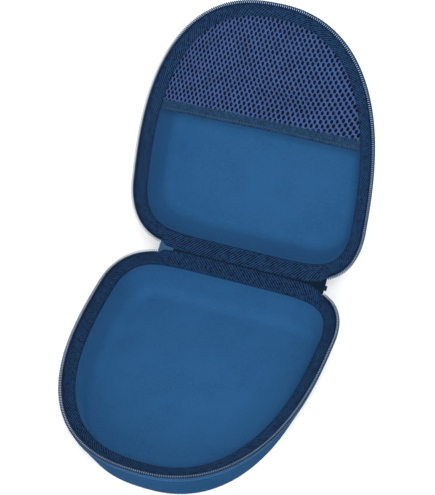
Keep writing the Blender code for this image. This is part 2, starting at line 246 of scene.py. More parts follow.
def bowl(name, half, profile, caps, material, top, sag=None):
    """A skin from the middle of one side over its edge to the middle of the other, closed all round.

    caps gives the shares of the end rings' size, from the middle out, that fill the two flat ends, and
    top is the number of the profile's point where the UV's second coordinate starts.
    """
    lengths = np.arange(BOWL_STATIONS) * ROUND / BOWL_STATIONS
    points, normals = stations(lengths)
    flat = points[:, None, :] - normals[:, None, :] * profile[:, 0][None, :, None]
    first = CAP_MIDDLE + (flat[:, :1] - CAP_MIDDLE) * caps[None, :, None]
    last = CAP_MIDDLE + (flat[:, -1:] - CAP_MIDDLE) * caps[None, ::-1, None]
    flat = np.concatenate([first, flat, last], axis=1)
    depth = np.pad(profile[:, 1], len(caps), mode="edge")
    depth = np.broadcast_to(depth, flat.shape[:2]).copy()
    if sag is not None:
        depth += sag(flat[..., 0], flat[..., 1], depth)
    world = place(half, flat[..., 0], flat[..., 1], depth)
    rows, columns = world.shape[:2]
    faces, corners = grid_faces(rows, columns, True, False)
    run = profile_lengths(profile)
    cap_run = (caps - caps[0]) * CAP_RADIUS
    across = np.concatenate([cap_run - cap_run[-1] - 1, run, run[-1] + 1 + cap_run]) - run[top]
    along = np.append(lengths, ROUND)
    ends = [[i * columns for i in range(rows)], [i * columns + columns - 1 for i in range(rows)]]
    uv = np.vstack([grid_uv(along, across, corners), np.tile((0.0, across[-1]), (2 * rows, 1))])
    return make_piece(name, world, faces.tolist() + ends, material, uv)


def tube(points, radius, sides, around):
    """Points and faces of a capped tube; around gives its up at each point."""
    points = np.asarray(points, float)
    tangent = np.gradient(points, axis=0)
    tangent /= np.linalg.norm(tangent, axis=1)[:, None]
    one = around - (around * tangent).sum(axis=1)[:, None] * tangent
    one /= np.linalg.norm(one, axis=1)[:, None]
    two = np.cross(tangent, one)
    angle = np.arange(sides) * 2 * math.pi / sides
    radius = np.broadcast_to(radius, len(points))[:, None, None]
    ring = one[:, None] * np.cos(angle)[:, None] + two[:, None] * np.sin(angle)[:, None]
    verts = points[:, None] + ring * radius
    faces, _ = grid_faces(len(points), sides, False, True)
    return verts.reshape(-1, 3), faces.tolist() + end_caps(len(points), sides)


def join_parts(parts):
    """One list of points and one of faces from several."""
    points, faces, start = [], [], 0
    for verts, found in parts:
        points.append(verts)
        faces += [[i + start for i in face] for face in found]
        start += len(verts)
    return np.vstack(points), faces


# ---------------------------------------------------------------- materials

SHEEN_ROUGHNESS, SHEEN_TINT = 0.45, (0.14, 0.48, 1.0, 1)


class Shader:
    """A Principled material and short ways to add procedural detail to it."""

    def __init__(self, name, colour, roughness, metallic=0.0, sheen=0.0, specular=0.5):
        self.made = bpy.data.materials.new(name)
        self.made.use_nodes = True
        self.tree = self.made.node_tree
        self.bsdf = self.tree.nodes["Principled BSDF"]
        self.bsdf.inputs["Base Color"].default_value = (*colour, 1)
        self.bsdf.inputs["Roughness"].default_value = roughness
        self.bsdf.inputs["Metallic"].default_value = metallic
        self.bsdf.inputs["Specular IOR Level"].default_value = specular
        self.bsdf.inputs["Sheen Weight"].default_value = sheen
        self.bsdf.inputs["Sheen Roughness"].default_value = SHEEN_ROUGHNESS
        self.bsdf.inputs["Sheen Tint"].default_value = SHEEN_TINT

    def node(self, kind, **values):
        found = self.tree.nodes.new(kind)
        for key, value in values.items():
            setattr(found, key, value)
        return found

    def link(self, output, target):
        self.tree.links.new(output, target)

    def math(self, operation, a, b=None, c=None):
        found = self.node("ShaderNodeMath", operation=operation)
        for i, value in enumerate((a, b, c)):
            if value is None:
                continue
            if isinstance(value, (int, float)):
                found.inputs[i].default_value = value
            else:
                self.link(value, found.inputs[i])
        return found.outputs[0]

    def uv(self):
        """The two coordinates of the UV map, in millimetres."""
        split = self.node("ShaderNodeSeparateXYZ")
        self.link(self.node("ShaderNodeUVMap", uv_map="UVMap").outputs[0], split.inputs[0])
        return split.outputs[0], split.outputs[1]

    def noise(self, size, detail=2.0, roughness=0.5, stretch=(1, 1, 1)):
        """Noise whose features are about size millimetres across."""
        mapping = self.node("ShaderNodeMapping")
        mapping.inputs["Scale"].default_value = stretch
        self.link(self.node("ShaderNodeTexCoord").outputs["Object"], mapping.inputs[0])
        found = self.node("ShaderNodeTexNoise")
        found.inputs["Scale"].default_value = 1 / (size * MM)
        found.inputs["Detail"].default_value = detail
        found.inputs["Roughness"].default_value = roughness
        self.link(mapping.outputs[0], found.inputs["Vector"])
        return found.outputs[0]

    def ramp(self, value, low, high, start=0.0, end=1.0):
        """value from start..end mapped to low..high."""
        found = self.node("ShaderNodeMapRange")
        self.link(value, found.inputs[0])
        for i, number in enumerate((start, end, low, high)):
            found.inputs[1 + i].default_value = number
        return found.outputs[0]

    def mix(self, share, one, two):
        """A colour between two, which are colours or sockets."""
        found = self.node("ShaderNodeMix", data_type="RGBA")
        self.link(share, found.inputs[0])
        for value, target in ((one, found.inputs[6]), (two, found.inputs[7])):
            if isinstance(value, tuple):
                target.default_value = (*value, 1)
            else:
                self.link(value, target)
        return found.outputs[2]

    def colour(self, output):
        self.link(output, self.bsdf.inputs["Base Color"])

    def roughness(self, output):
        self.link(output, self.bsdf.inputs["Roughness"])

    def bump(self, height, distance, strength=1.0):
        """Adds a bump, distance in millimetres, on top of those already there."""
        found = self.node("ShaderNodeBump")
        found.inputs["Distance"].default_value = distance * MM
        found.inputs["Strength"].default_value = strength
        self.link(height, found.inputs["Height"])
        normal = self.bsdf.inputs["Normal"]
        if normal.is_linked:
            self.link(normal.links[0].from_socket, found.inputs["Normal"])
        self.link(found.outputs[0], normal)


def scaled(colour, factor):
    return tuple(c * factor for c in colour)


GROOVE_SHADE = (1.0, 2.6)  # across the lining from its top: painted shade of the groove under the tape's rolled edge, full up to the first, gone from the second


def brushed_fabric(name, colour, sheen):
    """Soft lining: short brushed fibres, broad patches where the nap lies another way, and painted shade
    along its top under the tape's rolled edge.
    """
    made = Shader(name, colour, 0.95, sheen=sheen, specular=0.08)
    fibres = made.noise(0.75, detail=3, roughness=0.75, stretch=(1.0, 0.5, 0.7))
    patches = made.noise(26, detail=3, roughness=0.55)
    grain = made.mix(made.ramp(fibres, 0, 1, 0.3, 0.7), scaled(colour, 0.72), scaled(colour, 1.28))
    raised = made.mix(fibres, scaled(colour, 0.85), scaled(colour, 1.35))
    nap = made.mix(made.ramp(patches, 0, 1, 0.35, 0.68), grain, raised)
    # painted shade: near its top the lining falls to 0.3 of its colour, for the shadow in the groove under
    # the tape's rolled edge
    out_of_groove_shade = made.ramp(made.uv()[1], 0, 1, *GROOVE_SHADE)
    made.colour(made.mix(out_of_groove_shade, scaled(colour, 0.3), nap))
    made.bump(fibres, 0.10, 0.5)
    made.bump(patches, 0.3, 0.2)
    return made.made


def woven_fabric(name, colour, pitch=0.62, contrast=0.3):
    """Plain weave over the foam: threads cross at a pitch in millimetres, uneven in tone."""
    made = Shader(name, colour, 0.9, sheen=0.03, specular=0.03)
    u, v = made.uv()
    across = made.math("ABSOLUTE", made.math("SINE", made.math("MULTIPLY", u, math.pi / pitch)))
    along = made.math("ABSOLUTE", made.math("SINE", made.math("MULTIPLY", v, math.pi / pitch)))
    weave = made.math("MULTIPLY", across, along)
    threads = made.noise(0.9, detail=3, roughness=0.7)
    patches = made.noise(30, detail=2)
    tone = made.math("MULTIPLY_ADD", weave, contrast, made.ramp(threads, 0.0, 1 - contrast, 0.2, 0.8))
    grain = made.mix(tone, scaled(colour, 0.72), scaled(colour, 1.22))
    worn = made.mix(tone, scaled(colour, 0.85), scaled(colour, 1.38))
    made.colour(made.mix(made.ramp(patches, 0, 1, 0.3, 0.7), grain, worn))
    made.bump(weave, 0.14, 0.6)
    made.bump(threads, 0.12, 0.4)
    return made.made


PICK_PITCH = 1.6  # of the weft threads that cross a twill's ribs


def twill_tape(name, colour, pitch, run, contrast):
    """Twill: leaning ribs at a pitch, which lean the other way after each run of millimetres across."""
    made = Shader(name, colour, 0.85, sheen=0.02, specular=0.10)
    u, v = made.uv()
    lean = made.math("PINGPONG", v, run)
    ribs = made.math("SINE", made.math("MULTIPLY", made.math("ADD", u, lean), 2 * math.pi / pitch))
    ribs = made.ramp(ribs, 0, 1, -1, 1)
    picks = made.math("ABSOLUTE", made.math("SINE", made.math("MULTIPLY", v, math.pi / PICK_PITCH)))
    weave = made.math("MULTIPLY_ADD", picks, 0.35, made.math("MULTIPLY", ribs, 0.65))
    fuzz = made.noise(2.4, detail=3, roughness=0.8)
    tone = made.math("MULTIPLY_ADD", fuzz, 1.3, made.math("MULTIPLY", weave, 0.6))
    tone = made.ramp(tone, 0, 1, 0.76, 1.14)
    made.colour(made.mix(tone, scaled(colour, 1 - 0.95 * contrast), scaled(colour, 1 + 3.0 * contrast)))
    made.bump(weave, 0.45, 1.0)
    made.bump(fuzz, 0.25, 0.6)
    return made.made


def plain(name, colour, roughness, grain, depth=0.03, **extra):
    """Moulded or drawn material: fine grain, slightly uneven colour and gloss."""
    made = Shader(name, colour, roughness, **extra)
    small = made.noise(grain, detail=3)
    broad = made.noise(9, detail=2)
    tone = made.math("MULTIPLY_ADD", small, 0.5, made.math("MULTIPLY", broad, 0.5))
    made.colour(made.mix(made.ramp(tone, 0, 1, 0.3, 0.7), scaled(colour, 0.75), scaled(colour, 1.25)))
    made.roughness(made.ramp(tone, roughness - 0.06, roughness + 0.08, 0.3, 0.7))
    made.bump(small, depth, 0.5)
    return made.made


COIL_PITCH = 1.65  # of the zip's teeth

LINING = brushed_fabric("lining_brushed", (0.0130, 0.0630, 0.1550), sheen=0.2)
OUTER = woven_fabric("outer_weave", (0.0055, 0.0370, 0.0950))
STRIP = woven_fabric("seam_strip_weave", (0.0105, 0.0500, 0.1180), pitch=COIL_PITCH, contrast=0.75)
HINGE_CLOTH = woven_fabric("hinge_weave", (0.022, 0.066, 0.135), pitch=0.7)
TAPE = twill_tape("tape_twill", (0.0020, 0.0090, 0.0250), pitch=2.6, run=30.0, contrast=0.85)
# painted shade: a near-black copy of the hinge cloth for its inner face, standing in for the shadow in the
# gap between the tapes
FOLD_SHADE = woven_fabric("hinge_weave_painted_shade", (0.0025, 0.0090, 0.0170), pitch=0.7)
HEM = twill_tape("hem_knit", (0.0050, 0.0175, 0.0410), pitch=1.7, run=4.4, contrast=0.5)
TEETH = plain("coil_nylon", (0.0015, 0.0060, 0.0220), 0.3, grain=0.3, depth=0.01, specular=0.15)
# painted highlight and painted light: a pale copy of the coil's nylon for the glint on each tooth's top, and
# a lighter copy for the lit outer bend and flank
TOOTH_GLINT = plain("coil_nylon_painted_glint", (0.150, 0.240, 0.390), 0.25, grain=0.3, depth=0.01, specular=0.6)
LIT_FLANK = plain("coil_nylon_painted_lit_flank", (0.004, 0.016, 0.040), 0.3, grain=0.3, depth=0.01, specular=0.4)
THREAD = plain("thread_navy", (0.004, 0.010, 0.026), 0.6, grain=0.2, specular=0.2)
THREAD_BLUE = plain("thread_blue", (0.020, 0.064, 0.130), 0.65, grain=0.2)
MESH_YARN = plain("mesh_yarn", (0.028, 0.057, 0.148), 0.8, grain=0.35, depth=0.12, sheen=0.03, specular=0.12)
# partly the net's second layer, partly painted shade: its near-black colour stands in for the shadow inside
# the pocket
MESH_BACK_SHADE = plain("mesh_backing_shade", (0.0022, 0.0045, 0.018), 0.95, grain=0.4, depth=0.1, specular=0.1)
METAL = plain("dark_nickel", (0.075, 0.080, 0.090), 0.32, metallic=1.0, grain=0.25, depth=0.01)
GRIP = plain("grip_rubber", (0.013, 0.036, 0.085), 0.6, grain=0.3, depth=0.04)
FOAM = plain("foam_dark", (0.02, 0.022, 0.028), 0.95, grain=0.6, depth=0.15)


# ---------------------------------------------------------------- fabric skins


def wall_inset(top, depth):
    """Inset of a leaning wall at a depth, from its inset where the outer fabric starts."""
    return top + WALL_SLOPE * (depth - OUTER_TOP)


CORNER_STEPS = 12


def leaning_corner(wall, floor, radius, drawn):
    """The round from a leaning wall down to a floor, drawn with another radius about the same centre."""
    depth = floor - radius
    inset = wall_inset(wall, depth) + radius / math.cos(WALL_ANGLE)
    angle = np.linspace(WALL_ANGLE, math.pi / 2, CORNER_STEPS)
    return np.column_stack([inset - drawn * np.cos(angle), depth + drawn * np.sin(angle)])


def uneven(x, y, size, seed):
    """Smooth noise over the plan of the case, about -1 to 1, with features of a size."""
    found = [noise.noise(Vector((a / size, b / size, seed))) for a, b in zip(x.ravel(), y.ravel())]
    return np.array(found).reshape(x.shape)


LINING_FACE, LINING_BACK = 1.1, 0.3  # how far the lining's two faces lie off the foam
WAVES_TOP, WAVES_RAMP = 8.0, 14.0  # the depth where the waves begin, and how much deeper they are full
BROAD_HEIGHT, BROAD_SIZE, BROAD_SEED = 0.35, 34, {"base": 5.2, "lid": 1.7}
FINE_HEIGHT, FINE_SIZE, FINE_SEED = 0.12, 11, 8.1


def add_lining(half):
    """The soft lining: out from behind the tape's rolled edge, down the wall and over the floor."""
    wall, floor = CAVITY[half]
    shoulder = wall_inset(wall, SHOULDER)
    top = [(10.8, 5.2), (10.95, 6.9), (11.3, 9.2), (shoulder + 1.2, SHOULDER + 0.6)]
    corner = leaning_corner(wall, floor, CAVITY_RADIUS, CAVITY_RADIUS - LINING_FACE)
    face = np.vstack([smooth_profile(top, 3), corner])
    under = leaning_corner(wall, floor, CAVITY_RADIUS, CAVITY_RADIUS - LINING_BACK)
    back = np.vstack([[(10.72, 5.3), (10.72, 9.0), (shoulder + LINING_BACK, SHOULDER)], under])

    def waves(x, y, depth):
        share = np.clip((depth - WAVES_TOP) / WAVES_RAMP, 0, 1)
        broad = BROAD_HEIGHT * uneven(x, y, BROAD_SIZE, BROAD_SEED[half])
        return share * (broad + FINE_HEIGHT * uneven(x, y, FINE_SIZE, FINE_SEED))

    caps = np.array([0.04, 0.12, 0.22, 0.32, 0.42, 0.52, 0.62, 0.71, 0.80, 0.88, 0.95])
    profile = np.vstack([back[::-1], face])
    piece = bowl(f"{half}_lining_cloth", half, profile, caps, LINING, len(back), sag=waves)
    finish_piece(piece, half, "lining", f"{half}_lining")


def add_outer(half):
    """The outer fabric, from under the seam strip round the corner and across the bottom."""
    wall = [(1.45, 6.9), (1.1, 7.5), (1.35, 8.8), (2.65, 11.5), (wall_inset(WALL_TOP, 22) - 0.25, 22)]
    wall.append((wall_inset(WALL_TOP, 32), 32))
    corner = leaning_corner(WALL_TOP, DEPTH, CORNER_RADIUS, CORNER_RADIUS)
    out = np.vstack([smooth_profile(wall, 4), corner])
    under = leaning_corner(WALL_TOP, DEPTH, CORNER_RADIUS, CORNER_RADIUS - SKIN)
    under = np.vstack([[(2.1, 7.4)], under])
    caps = np.array([0.04, 0.2, 0.4, 0.6, 0.8, 0.93])
    profile = np.vstack([out[::-1], under])
    piece = bowl(f"{half}_outer_cloth", half, profile, caps, OUTER, len(out) - 1)
    finish_piece(piece, half, "outer_fabric", f"{half}_outer_fabric")


TAPE_STATIONS = 480
TURN_END, TURN_LENGTH = 1.0, 6.0  # the tape has its zip shape this far past the hinge, after this long a turn
FOLD_RAMPS = {"left": (14, 20), "right": (16, 9)}  # from the hinge's ends, towards +X: the reach fades there
FOLD_CLEAR, FOLD_MOST = 1.2, 3  # from the fold line, and the most that the tape reaches past its usual edge
TAPE_EDGE = 3.4  # the tape outside this inset takes part in that reach


def eased(share):
    """A share from 0 to 1 with a soft start and end."""
    return share**2 * (3 - 2 * share)


def hinge_share(lengths):
    """1 beside the fabric hinge and 0 beside the zip, with a short turn from one to the other."""
    beyond = np.minimum(lengths - ZIP_START, ZIP_STOP - lengths)
    return eased(np.clip((TURN_END - beyond) / TURN_LENGTH, 0, 1))


def fold_reach(lengths):
    """How far past its usual edge the tape runs to come near the fold line, but not at the hinge's ends."""
    x, y = stations(lengths)[0].T
    room = np.interp(x, [ramp - HINGE_ENDS["left"] for ramp in FOLD_RAMPS["left"]], [0, 1])
    room *= np.interp(x, [HINGE_ENDS["right"] - ramp for ramp in FOLD_RAMPS["right"]], [1, 0])
    return np.where(y > WIDEST_Y, room * np.clip(HINGE[1] - FOLD_CLEAR - y, 0, FOLD_MOST), 0)


def add_tape(half):
    """The flat zip tape over the lip, rolled over the lip's inner edge; at the hinge it runs to the fold."""
    inner = [(9.8, 3.3), (11.2, 3.8), (11.95, 4.7), (11.9, 5.7)]
    by_zip = smooth_profile([(1.6, 2.8), (1.9, 2.45), (2.8, 2.3), (4.4, 2.35), (6.6, 2.6), *inner], 3)
    outer = [(-0.75, 0.75), (-0.72, -0.05), (1.0, 0.1), (3.4, 1.0), (6.4, 2.3)]
    by_hinge = smooth_profile(outer + inner, 3)
    under = [(11.3, 6.1), (11.05, 5.4), (10.2, 4.35)]
    under_zip = smooth_profile(under + [(5.5, 3.6), (1.6, 3.35)], 2)
    under_hinge = smooth_profile(under + [(5.5, 3.3), (0.0, 1.5)], 2)
    lengths = np.arange(TAPE_STATIONS) * ROUND / TAPE_STATIONS
    share = hinge_share(lengths)[:, None, None]
    profile = (1 - share) * np.vstack([by_zip, under_zip]) + share * np.vstack([by_hinge, under_hinge])
    edge_share = np.clip((TAPE_EDGE - profile[..., 0]) / TAPE_EDGE, 0, 1)
    profile[..., 0] -= fold_reach(lengths)[:, None] * edge_share
    piece = sweep(f"{half}_zip_tape_cloth", half, lengths, profile, TAPE, wrap=True)
    finish_piece(piece, half, "zip_tape", f"{half}_zip_tape")


STITCH_PITCH, STITCH_LENGTH, STITCH_RADIUS = 3.3, 2.6, 0.2
STITCH_INSET, STITCH_DEPTH = 0.38, 4.65  # of the sewing's row, in the strip's groove
STITCH_END = 2  # from the zip's end to the first stitch
STRIP_STATIONS, STRIP_BEYOND = 440, 1.5  # the strip runs this far past the zip's ends
PUCKER, PUCKER_MIDDLE, PUCKER_REACH = 0.06, 3.4, 2.6  # its height, and where across the strip it is


def stitch_row(half, starts, length, inset, depth, radius):
    """A row of short stitches along the outline, their ends dipping into the cloth."""
    dip = radius * np.array([1.3, 0.15, 0.0, 0.15, 1.3])
    thin = radius * np.array([0.55, 1, 1, 1, 0.55])
    parts = []
    for start in starts:
        path = along_outline(half, start + np.linspace(0, length, len(dip)), inset + dip, depth)
        parts.append(tube(path, thin, 6, upwards(half, len(dip))))
    return join_parts(parts)


def add_seam_strip(half):
    """The stitched strip of outer fabric under the teeth, with its row of stitches in a groove."""
    rolled_edge = [(1.5, 2.7), (1.05, 2.15), (0.6, 1.95), (0.2, 2.2), (0.0, 3.0), (0.15, 4.0)]
    groove_down = [(0.62, 4.65), (0.5, 5.2), (0.8, 6.3), (1.25, 7.1), (1.75, 7.35)]
    back = np.array([(2.2, 7.1), (2.1, 5.0), (2.0, 3.3)])
    profile = np.vstack([smooth_profile(rolled_edge + groove_down, 3), back])
    lengths = np.linspace(ZIP_START - STRIP_BEYOND, ZIP_STOP + STRIP_BEYOND, STRIP_STATIONS)

    def pucker(along, across):
        """The cloth draws in a little at every stitch."""
        near = np.abs(across - PUCKER_MIDDLE) < PUCKER_REACH
        return PUCKER * np.sin(along * 2 * math.pi / STITCH_PITCH) * near

    piece = sweep(f"{half}_seam_strip_cloth", half, lengths, profile, STRIP, shift=pucker)
    finish_piece(piece, half, "outer_fabric", f"{half}_seam_strip")
    first, last = ZIP_START + STITCH_END, ZIP_STOP - STITCH_END
    starts = first + np.arange(int((last - first) / STITCH_PITCH)) * STITCH_PITCH
    stitches = stitch_row(half, starts, STITCH_LENGTH, STITCH_INSET, STITCH_DEPTH, STITCH_RADIUS)
    piece = make_piece(f"{half}_seam_stitches", *stitches, THREAD_BLUE)
    finish_piece(piece, half, "outer_fabric")


COIL_MIDDLE, COIL_DEPTH = 1.0, 0.95  # inset and depth of the coil's centre line
COIL_HALF_WIDTH, COIL_HALF_HEIGHT = 1.5, 0.6
COIL_END = 1.5  # from the zip's end to the first tooth
COIL_SQUARE = 0.85  # a power: 1 is an oval coil, and less a squarer one
SHIFT_START, SHIFT_TURN = 0.36, 0.28  # the part of each turn where the thread goes on to the next tooth
TURN_STEPS, NYLON_SIDES = 16, 8
NYLON_RADIUS, NYLON_BULGE = 0.29, 0.05  # the bulge is at the outer bend
GLINT_ZONE, LIT_FLANK_FROM = (-0.15, 0.5), 0.6  # across the coil, 1 outermost: where the painted highlight lies on each tooth's top, and where the painted light of the outer bend and flank starts
SEWING_INSET, SEWING_RADIUS = 1.0, 0.16  # of the thread over the coil, from the coil's middle
SEWING_HALF, SEWING_DEPTHS = 0.5, np.array([0.6, 0.15, 0.15, 0.6])  # of one stitch along and down


def squarish(wave):
    """A sine or cosine with flatter tops."""
    return np.sign(wave) * np.abs(wave) ** COIL_SQUARE


def add_teeth(half):
    """The coil: one thread of nylon bent into a tooth at every pitch, its shift hidden at the inner edge."""
    turns = int((ZIP_STOP - ZIP_START - 2 * COIL_END) / COIL_PITCH)
    turn = np.arange(turns * TURN_STEPS + 1) / TURN_STEPS
    shift = eased(np.clip((turn % 1 - SHIFT_START) / SHIFT_TURN, 0, 1))
    lengths = ZIP_START + COIL_END + COIL_PITCH * (np.floor(turn) + shift)
    side, height = np.cos(2 * math.pi * turn), np.sin(2 * math.pi * turn)
    inset = COIL_MIDDLE - COIL_HALF_WIDTH * squarish(side)
    path = along_outline(half, lengths, inset, COIL_DEPTH - COIL_HALF_HEIGHT * squarish(height))
    centre = along_outline(half, lengths, COIL_MIDDLE, COIL_DEPTH)
    radius = NYLON_RADIUS + NYLON_BULGE * np.clip(side, 0, 1) ** 2
    piece = make_piece(f"{half}_coil_teeth", *tube(path, radius, NYLON_SIDES, path - centre), TEETH)
    # lit and shaded copies of one nylon: the painted highlight on each tooth's top, painted light on the
    # outer bend and flank, the dark nylon elsewhere
    piece.data.materials.append(TOOTH_GLINT)
    piece.data.materials.append(LIT_FLANK)
    glint_points = (side > GLINT_ZONE[0]) & (side < GLINT_ZONE[1]) & (height > 0)
    light_zone = np.where(glint_points, 1, np.where(side > LIT_FLANK_FROM, 2, 0))
    ring = np.arange(len(piece.data.polygons)) // NYLON_SIDES
    index = light_zone[np.minimum(ring, len(light_zone) - 1)]
    piece.data.polygons.foreach_set("material_index", index.astype(np.int32))
    finish_piece(piece, half, "zip_teeth", f"{half}_zip_teeth")
    parts = []
    for i in range(turns):
        along = ZIP_START + COIL_END + COIL_PITCH * i + np.linspace(-SEWING_HALF, SEWING_HALF, 4)
        row = along_outline(half, along, COIL_MIDDLE + SEWING_INSET, SEWING_DEPTHS)
        parts.append(tube(row, SEWING_RADIUS * np.array([0.7, 1, 1, 0.7]), 5, upwards(half, 4)))
    piece = make_piece(f"{half}_coil_sewing", *join_parts(parts), THREAD)
    finish_piece(piece, half, "zip_teeth")


for one_half in ("base", "lid"):
    add_lining(one_half)
    add_outer(one_half)
    add_tape(one_half)
    add_seam_strip(one_half)
    add_teeth(one_half)


# ---------------------------------------------------------------- fabric hinge

HINGE_STATIONS, HINGE_BEYOND = 70, 0.5  # the cloth runs this far past the zip's ends
HINGE_PROFILE = [(1.0, 7.3), (0.1, 4.0), (-0.3, 1.3)]  # inset and depth, from the wall up to the rim
HINGE_THICKNESS, HINGE_WIDTH = 0.55, 22
FOLD_PULL = 0.55  # how much of the way from the hinge line to between the rims the fold lies


def add_hinge():
    """One cloth from the base's wall over the fold line to the lid's wall; its inner face, short of the left
    end, is near black as painted shade of the gap between the tapes.
    """
    lengths = np.linspace(-RIGHT_END - HINGE_BEYOND, LEFT_END + HINGE_BEYOND, HINGE_STATIONS)
    x = stations(lengths)[0][:, 0]
    near = [along_outline("base", lengths, inset, depth) for inset, depth in HINGE_PROFILE]
    far = [along_outline("lid", lengths, inset, depth) for inset, depth in HINGE_PROFILE]
    line = np.column_stack([x, np.full(HINGE_STATIONS, HINGE[1]), np.full(HINGE_STATIONS, HINGE[2])])
    fold = line + FOLD_PULL * ((near[-1] + far[-1]) / 2 - line)
    columns = np.stack([*near, fold, *far[::-1]], axis=1)
    outer = np.stack([smooth_profile(row, 5) for row in columns])
    normal = np.cross(np.gradient(outer, axis=0), np.gradient(outer, axis=1))
    normal /= np.linalg.norm(normal, axis=2)[..., None]
    towards_front = -np.sign(normal[HINGE_STATIONS // 2, 0, 1])
    inner = outer + normal * HINGE_THICKNESS * towards_front
    rows, steps = outer.shape[:2]
    ring = np.concatenate([outer, inner[:, ::-1]], axis=1)
    faces, corners = grid_faces(rows, 2 * steps, False, True)
    across = np.concatenate([np.linspace(0, HINGE_WIDTH, steps), np.linspace(HINGE_WIDTH, 0, steps), [0]])
    uv = np.vstack([grid_uv(lengths, across, corners), np.zeros((4 * steps, 2))])
    piece = make_piece("hinge_cloth", ring, faces.tolist() + end_caps(rows, 2 * steps), HINGE_CLOTH, uv)
    piece.data.materials.append(FOLD_SHADE)
    row, column = np.divmod(np.arange(len(faces)), 2 * steps)
    # the inner face takes the painted shade, except at the left end where it shows lit
    shaded_inside = (column >= steps) & (x[row] > FOLD_RAMPS["left"][0] - HINGE_ENDS["left"])
    index = np.concatenate([shaded_inside, [0, 0]]).astype(np.int32)
    piece.data.polygons.foreach_set("material_index", index)
    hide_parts("base_hinge_strip", "lid_hinge_strip")
    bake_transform(piece)


add_hinge()


# ---------------------------------------------------------------- mesh pocket

HEM_NEAR, HEM_FAR = -5.1, -13.9  # y of the hem's edges in the shut case: at the mouth, and over the net
MOUTH = HEM_FAR - 0.3  # where the net's surface starts
POCKET_DEPTH, POCKET_SAG = 6.5, 3.0
SLACK = [(5.5, 10, 34, -13, 11), (1.6, -42, 22, -24, 15)]  # height, x, half width, y - MOUTH, half length
CELL_X, CELL_Y = 3.9, 3.55  # pitch of the holes across and along the net, in its middle
WIDENING = 0.009  # how the cells grow to the right
BOW_SLOPE, BOW_CURVE, BOW_CENTRE, BOW_MOST = 0.10, 0.000015, 33, 14
SKEW, FANNING, SKEW_START = -0.10, 0.0012, 40  # how the rows' cells shift sideways away from the mouth
FIRST_ROW = 3.0  # how far past MOUTH the net's row 0 lies, under the hem
NET_ROWS, NET_COLUMNS = range(-3, 32), range(-26, 27)
NET_EDGE = 1.2  # how far past MOUTH the net reaches, under the hem
HOLE_HALF_X, HOLE_HALF_Y = 0.280, 0.495  # in cells
HOLE_SPREAD, HOLE_SHIFT = 0.04, 0.015  # of the random sizes, and in cells of the random places
RIB_SHARE = 0.42  # how far a rib's shoulder lies from the hole's edge to the cell's corners
RIB_BACK, RIB_SHOULDER, HOLE_FRONT, HOLE_BACK = 0.42, -0.24, 0.12, 0.34  # depths below the net's middle
LAST_SHARE, LAST_Y = 1.03, 2.6  # cells beyond this share of the pocket, or this far past MOUTH, are left out
RIM_STATIONS, RIM_BEYOND = 900, 30  # the pocket's edge is known this far past the mouth
NET_INSET, HEM_INSET = LIP_INSET + 0.5, LIP_INSET + 1.3


def pocket_rim(inset, limit):
    """The pocket's edge at an inset, as far as it lies beyond y = limit, from -X to +X."""
    points, normals = stations(np.linspace(ZIP_START, ZIP_STOP, RIM_STATIONS))
    edge = points - normals * inset
    return edge[edge[:, 1] < limit]


def mouth_angle(x, y):
    """The direction from the middle of the mouth, without a jump beside the mouth."""
    angle = np.arctan2(y - MOUTH, x)
    return np.where(angle > math.pi / 2, angle - 2 * math.pi, angle)


RIM = pocket_rim(NET_INSET, MOUTH + RIM_BEYOND)
RIM_ANGLE = mouth_angle(RIM[:, 0], RIM[:, 1])
RIM_REACH = np.hypot(RIM[:, 0], RIM[:, 1] - MOUTH)


def pocket_share(x, y):
    """0 in the middle of the mouth, 1 where the net goes under the tape."""
    return np.hypot(x, y - MOUTH) / np.interp(mouth_angle(x, y), RIM_ANGLE, RIM_REACH)


def pocket_surface(x, y):
    """Depth of the net: a shallow dish, slack above the mouth."""
    share = np.clip(pocket_share(x, y), 0, 1)
    dish = POCKET_DEPTH + POCKET_SAG * (1 - share**2)
    slack = 0
    for height, across, wide, along, long in SLACK:
        slack = slack + height * np.exp(-(((x - across) / wide) ** 2) - ((y - MOUTH - along) / long) ** 2)
    return dish + slack * (1 - share**4)


def net_place(u, v):
    """Where the net's cell (u, v) lies in the shut case: it is stretched to the right and bowed."""
    x = CELL_X / WIDENING * (np.exp(WIDENING * u) - 1)
    bow = BOW_SLOPE * x - BOW_CURVE * ((x + BOW_CENTRE) ** 3 - BOW_CENTRE**3)
    back = -CELL_Y * v
    x = x + (SKEW + FANNING * x) * (back + SKEW_START)
    return x, MOUTH + FIRST_ROW + back + np.clip(bow, -BOW_MOST, BOW_MOST)


